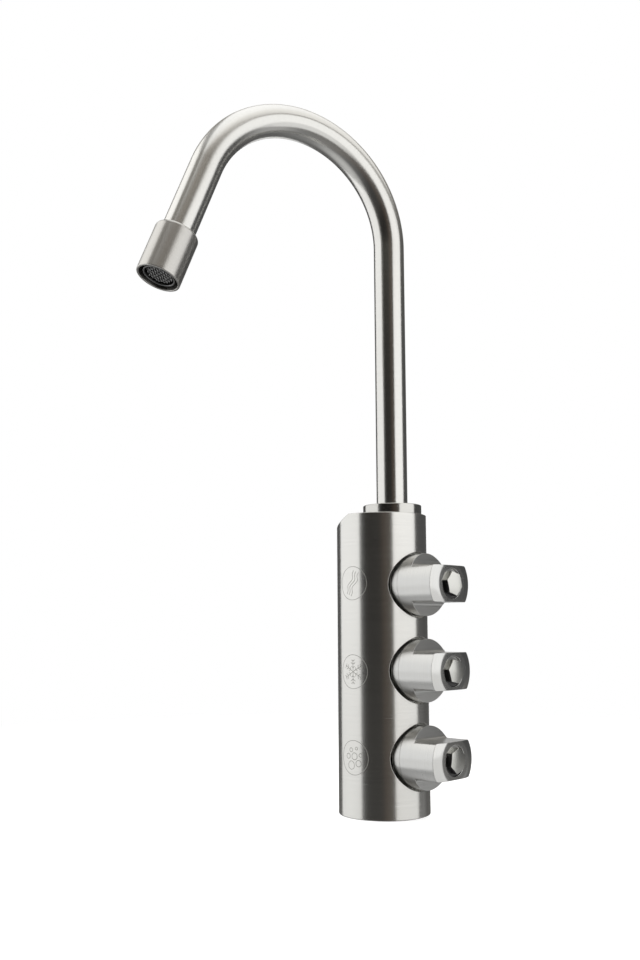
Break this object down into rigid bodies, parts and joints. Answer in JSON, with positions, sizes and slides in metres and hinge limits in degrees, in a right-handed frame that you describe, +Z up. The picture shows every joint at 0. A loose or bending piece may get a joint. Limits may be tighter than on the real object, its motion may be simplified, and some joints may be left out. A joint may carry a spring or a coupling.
{
  "type": "three way kitchen tap",
  "caption": "Brushed steel pillar tap with a swivelling gooseneck spout, an aerator, and a row of bar handles on one side that open separate ceramic disc valves.",
  "frame": {"origin": "the centre of the column's underside, where the tap stands on the sink or worktop", "axes": "+Z is up the column; +X is the way the three handles point; -Y is the side with the three etched marks, and the outlet hangs over it at rest"},
  "size_m": [0.0721, 0.1359, 0.3078],
  "materials": {
    "brushed_steel": "finely brushed stainless steel",
    "polished_steel": "smooth turned stainless steel",
    "screen_steel": "woven stainless wire",
    "brass": "turned brass",
    "rubber": "black seal rubber",
    "white_plastic": "off-white moulded acetal",
    "black_plastic": "black moulded acetal",
    "ceramic": "lapped alumina ceramic"
  },
  "bodies": {
    "base": {"column": "brushed_steel", "base_seal": "rubber", "spout_collar": "brushed_steel", "swivel_bush": "white_plastic", "cartridge_lower": "brass", "cartridge_seal_lower": "rubber", "fixed_disc_lower": "ceramic", "disc_seal_lower": "rubber", "cartridge_middle": "brass", "cartridge_seal_middle": "rubber", "fixed_disc_middle": "ceramic", "disc_seal_middle": "rubber", "cartridge_upper": "brass", "cartridge_seal_upper": "rubber", "fixed_disc_upper": "ceramic", "disc_seal_upper": "rubber"},
    "spout": {"spout_tube": "brushed_steel", "spout_foot": "brass", "foot_o_ring_lower": "rubber", "foot_o_ring_upper": "rubber", "aerator_shell": "brushed_steel", "aerator_washer": "rubber", "aerator_cage": "polished_steel", "aerator_mixer": "black_plastic", "aerator_screen": "screen_steel"},
    "handle_lower": {"knob_lower": "brushed_steel", "knob_screw_lower": "polished_steel", "spindle_lower": "brass", "spindle_clip_lower": "polished_steel", "stem_o_ring_lower": "rubber", "moving_disc_lower": "ceramic"},
    "handle_middle": {"knob_middle": "brushed_steel", "knob_screw_middle": "polished_steel", "spindle_middle": "brass", "spindle_clip_middle": "polished_steel", "stem_o_ring_middle": "rubber", "moving_disc_middle": "ceramic"},
    "handle_upper": {"knob_upper": "brushed_steel", "knob_screw_upper": "polished_steel", "spindle_upper": "brass", "spindle_clip_upper": "polished_steel", "stem_o_ring_upper": "rubber", "moving_disc_upper": "ceramic"}
  },
  "joints": [
    {"name": "spout_swivel", "type": "hinge", "parent": "base", "child": "spout", "pos_m": [0.00545, 0.0012, 0.1322], "axis": [0, 0, 1], "continuous": true},
    {"name": "handle_lower_turn", "type": "hinge", "parent": "base", "child": "handle_lower", "pos_m": [0.03, 0.0012, 0.0255], "axis": [1, 0, 0], "range_deg": [0, 90]},
    {"name": "handle_middle_turn", "type": "hinge", "parent": "base", "child": "handle_middle", "pos_m": [0.03, 0.0012, 0.0622], "axis": [1, 0, 0], "range_deg": [0, 90]},
    {"name": "handle_upper_turn", "type": "hinge", "parent": "base", "child": "handle_upper", "pos_m": [0.03, 0.0012, 0.0989], "axis": [1, 0, 0], "range_deg": [0, 90]}
  ]
}
